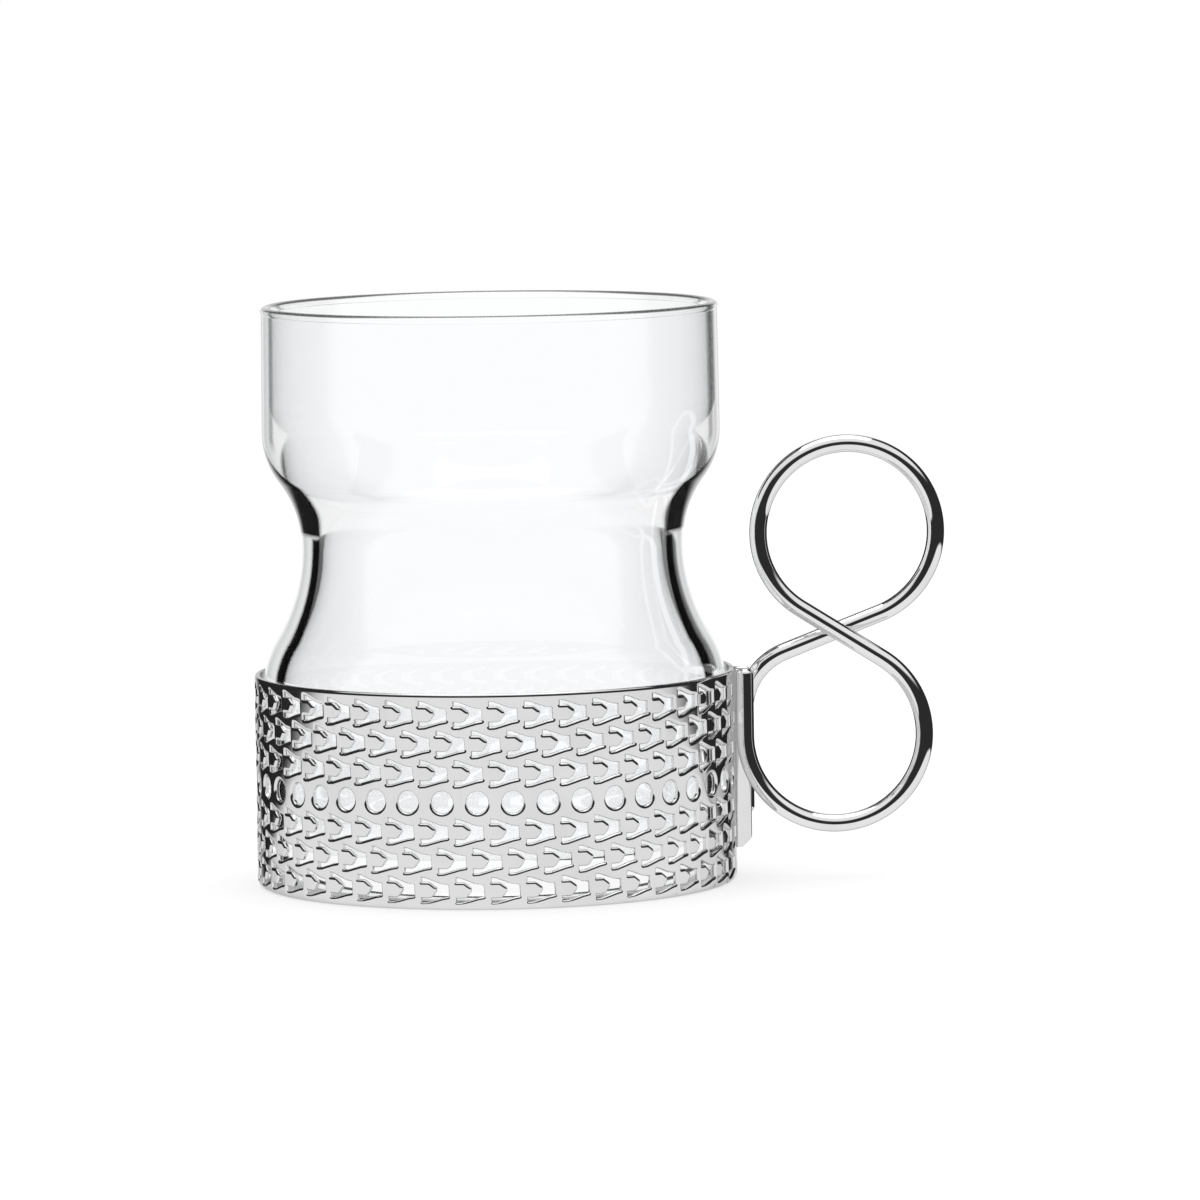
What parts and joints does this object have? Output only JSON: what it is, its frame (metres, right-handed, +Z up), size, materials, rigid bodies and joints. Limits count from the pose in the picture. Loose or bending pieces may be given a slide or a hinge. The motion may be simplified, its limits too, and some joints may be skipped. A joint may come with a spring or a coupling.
{
  "type": "tea glass holder",
  "caption": "Waisted clear tea glass standing in a polished ring of perforated sheet, with a figure-eight wire handle.",
  "frame": {"origin": "on the axis of the ring and the glass, in the plane that the holder stands on", "axes": "+Z up, out of the glass's mouth; +X from the axis to the handle; +Y away from a viewer who has the handle on the right"},
  "size_m": [0.1086, 0.0754, 0.091],
  "materials": {
    "clear_glass": "clear blown glass, fire-polished rim",
    "polished_sheet": "mirror-polished stainless steel sheet",
    "polished_wire": "mirror-polished stainless steel wire"
  },
  "bodies": {
    "holder": {"holder_band": "polished_sheet", "wire_handle": "polished_wire"},
    "glass": {"tea_glass": "clear_glass"}
  },
  "joints": [
    {"name": "glass_lift", "type": "slide", "parent": "holder", "child": "glass", "axis": [0, 0, 1], "range_m": [0, 0.045]}
  ]
}
